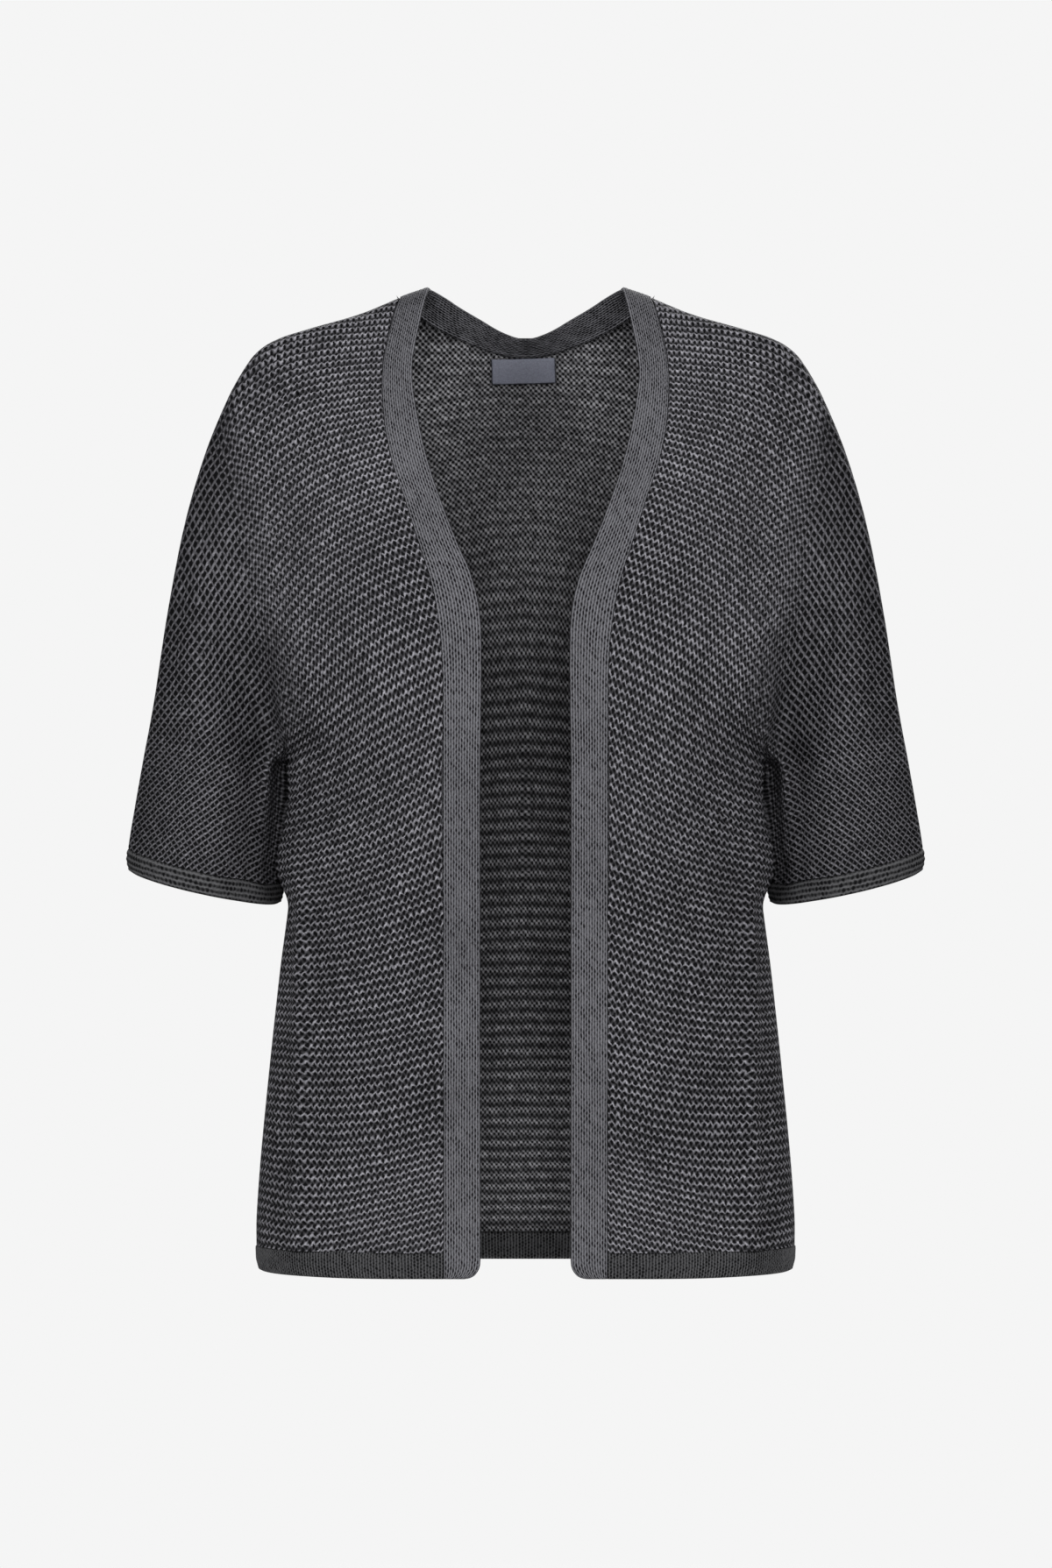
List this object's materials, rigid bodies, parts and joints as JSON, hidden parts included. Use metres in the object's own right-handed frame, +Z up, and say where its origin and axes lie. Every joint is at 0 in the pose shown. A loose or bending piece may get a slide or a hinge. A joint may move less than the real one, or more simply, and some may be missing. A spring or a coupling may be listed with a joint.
{
  "type": "open-front cardigan, hollow as worn, with half sleeves cut in one with the body",
  "caption": "Open-front knitted cardigan, filled out as if worn and hollow, with short wide sleeves and a plain band round the neck and fronts.",
  "frame": {"origin": "midway between the two points where the shoulder line meets the neck, where the wearer's shoulders hold the garment", "axes": "+Z up, the garment's front faces -Y, +X towards its left sleeve"},
  "size_m": [0.5628, 0.2234, 0.6946],
  "materials": {
    "knit": "chunky purl-ridge knit in smooth charcoal yarn",
    "band_knit": "close knit in the same yarn, lengthwise columns",
    "trim_knit": "close knit in the same yarn",
    "label_satin": "dark satin ribbon, bare"
  },
  "bodies": {
    "root": {"back": "knit", "front_left": "knit", "front_right": "knit", "front_band": "band_knit", "hem_left": "trim_knit", "hem_right": "trim_knit", "hem_back": "trim_knit", "cuff_left": "trim_knit", "cuff_right": "trim_knit", "label": "label_satin"}
  },
  "joints": []
}
